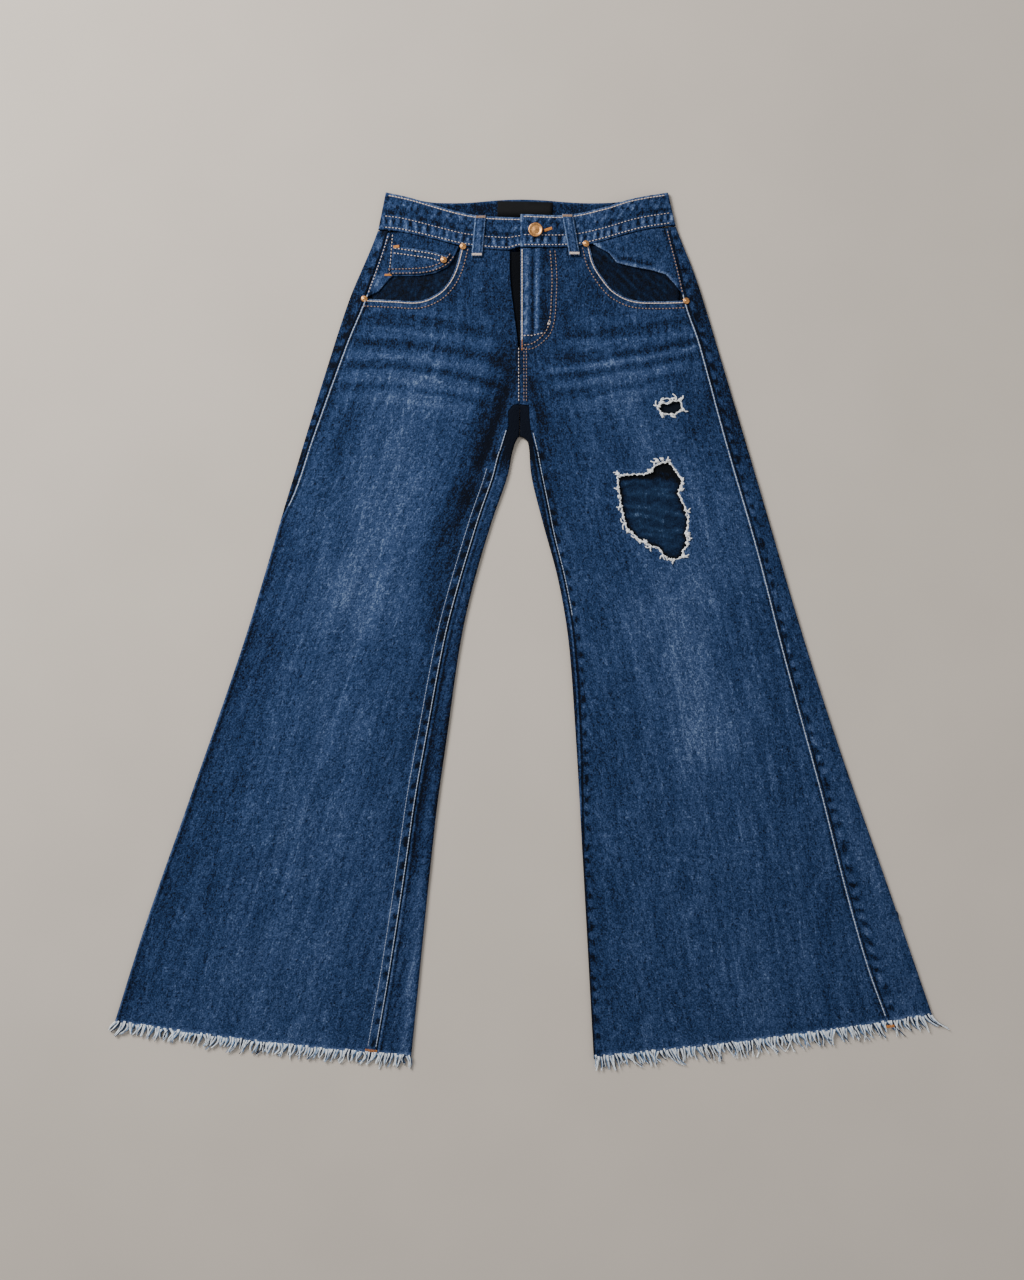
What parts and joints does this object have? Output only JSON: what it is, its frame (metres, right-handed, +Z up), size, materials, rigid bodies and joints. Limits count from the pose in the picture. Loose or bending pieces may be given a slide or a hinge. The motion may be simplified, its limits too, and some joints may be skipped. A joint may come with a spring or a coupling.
{
  "type": "ripped jeans",
  "caption": "Wide-leg blue denim jeans laid flat and face up, with ripped thigh and frayed hems.",
  "frame": {"origin": "on the floor, under the middle of the garment's outline", "axes": "+Z up from the floor, +Y from the hems to the waist, +X to the wearer's left"},
  "size_m": [0.9819, 1.0427, 0.0194],
  "materials": {
    "denim": "worn blue denim",
    "dark_denim": "dark navy twill in shadow",
    "label_black": "bare black woven tape",
    "copper": "worn copper",
    "pale_thread": "frayed blue and white cotton threads"
  },
  "bodies": {
    "root": {"front_right": "denim", "front_left": "denim", "back_right": "denim", "back_left": "denim", "yoke_right": "denim", "yoke_left": "denim", "back_pocket_right": "denim", "back_pocket_left": "denim", "waistband_front_right": "denim", "waistband_front_left": "denim", "waistband_back": "denim", "belt_loop_front_right": "denim", "belt_loop_front_left": "denim", "belt_loop_back_right": "denim", "belt_loop_back_centre": "denim", "belt_loop_back_left": "denim", "pocket_facing_right": "denim", "pocket_facing_left": "denim", "coin_pocket": "denim", "fly_facing": "denim", "pocket_bag_right": "dark_denim", "pocket_bag_left": "dark_denim", "fly_shield": "dark_denim", "rip_patch": "dark_denim", "label": "label_black", "button": "copper", "rivet_right_inner": "copper", "rivet_right_outer": "copper", "rivet_left_inner": "copper", "rivet_left_outer": "copper", "rivet_coin": "copper", "fringe_front_right": "pale_thread", "fringe_front_left": "pale_thread", "fringe_back_right": "pale_thread", "fringe_back_left": "pale_thread"}
  },
  "joints": []
}
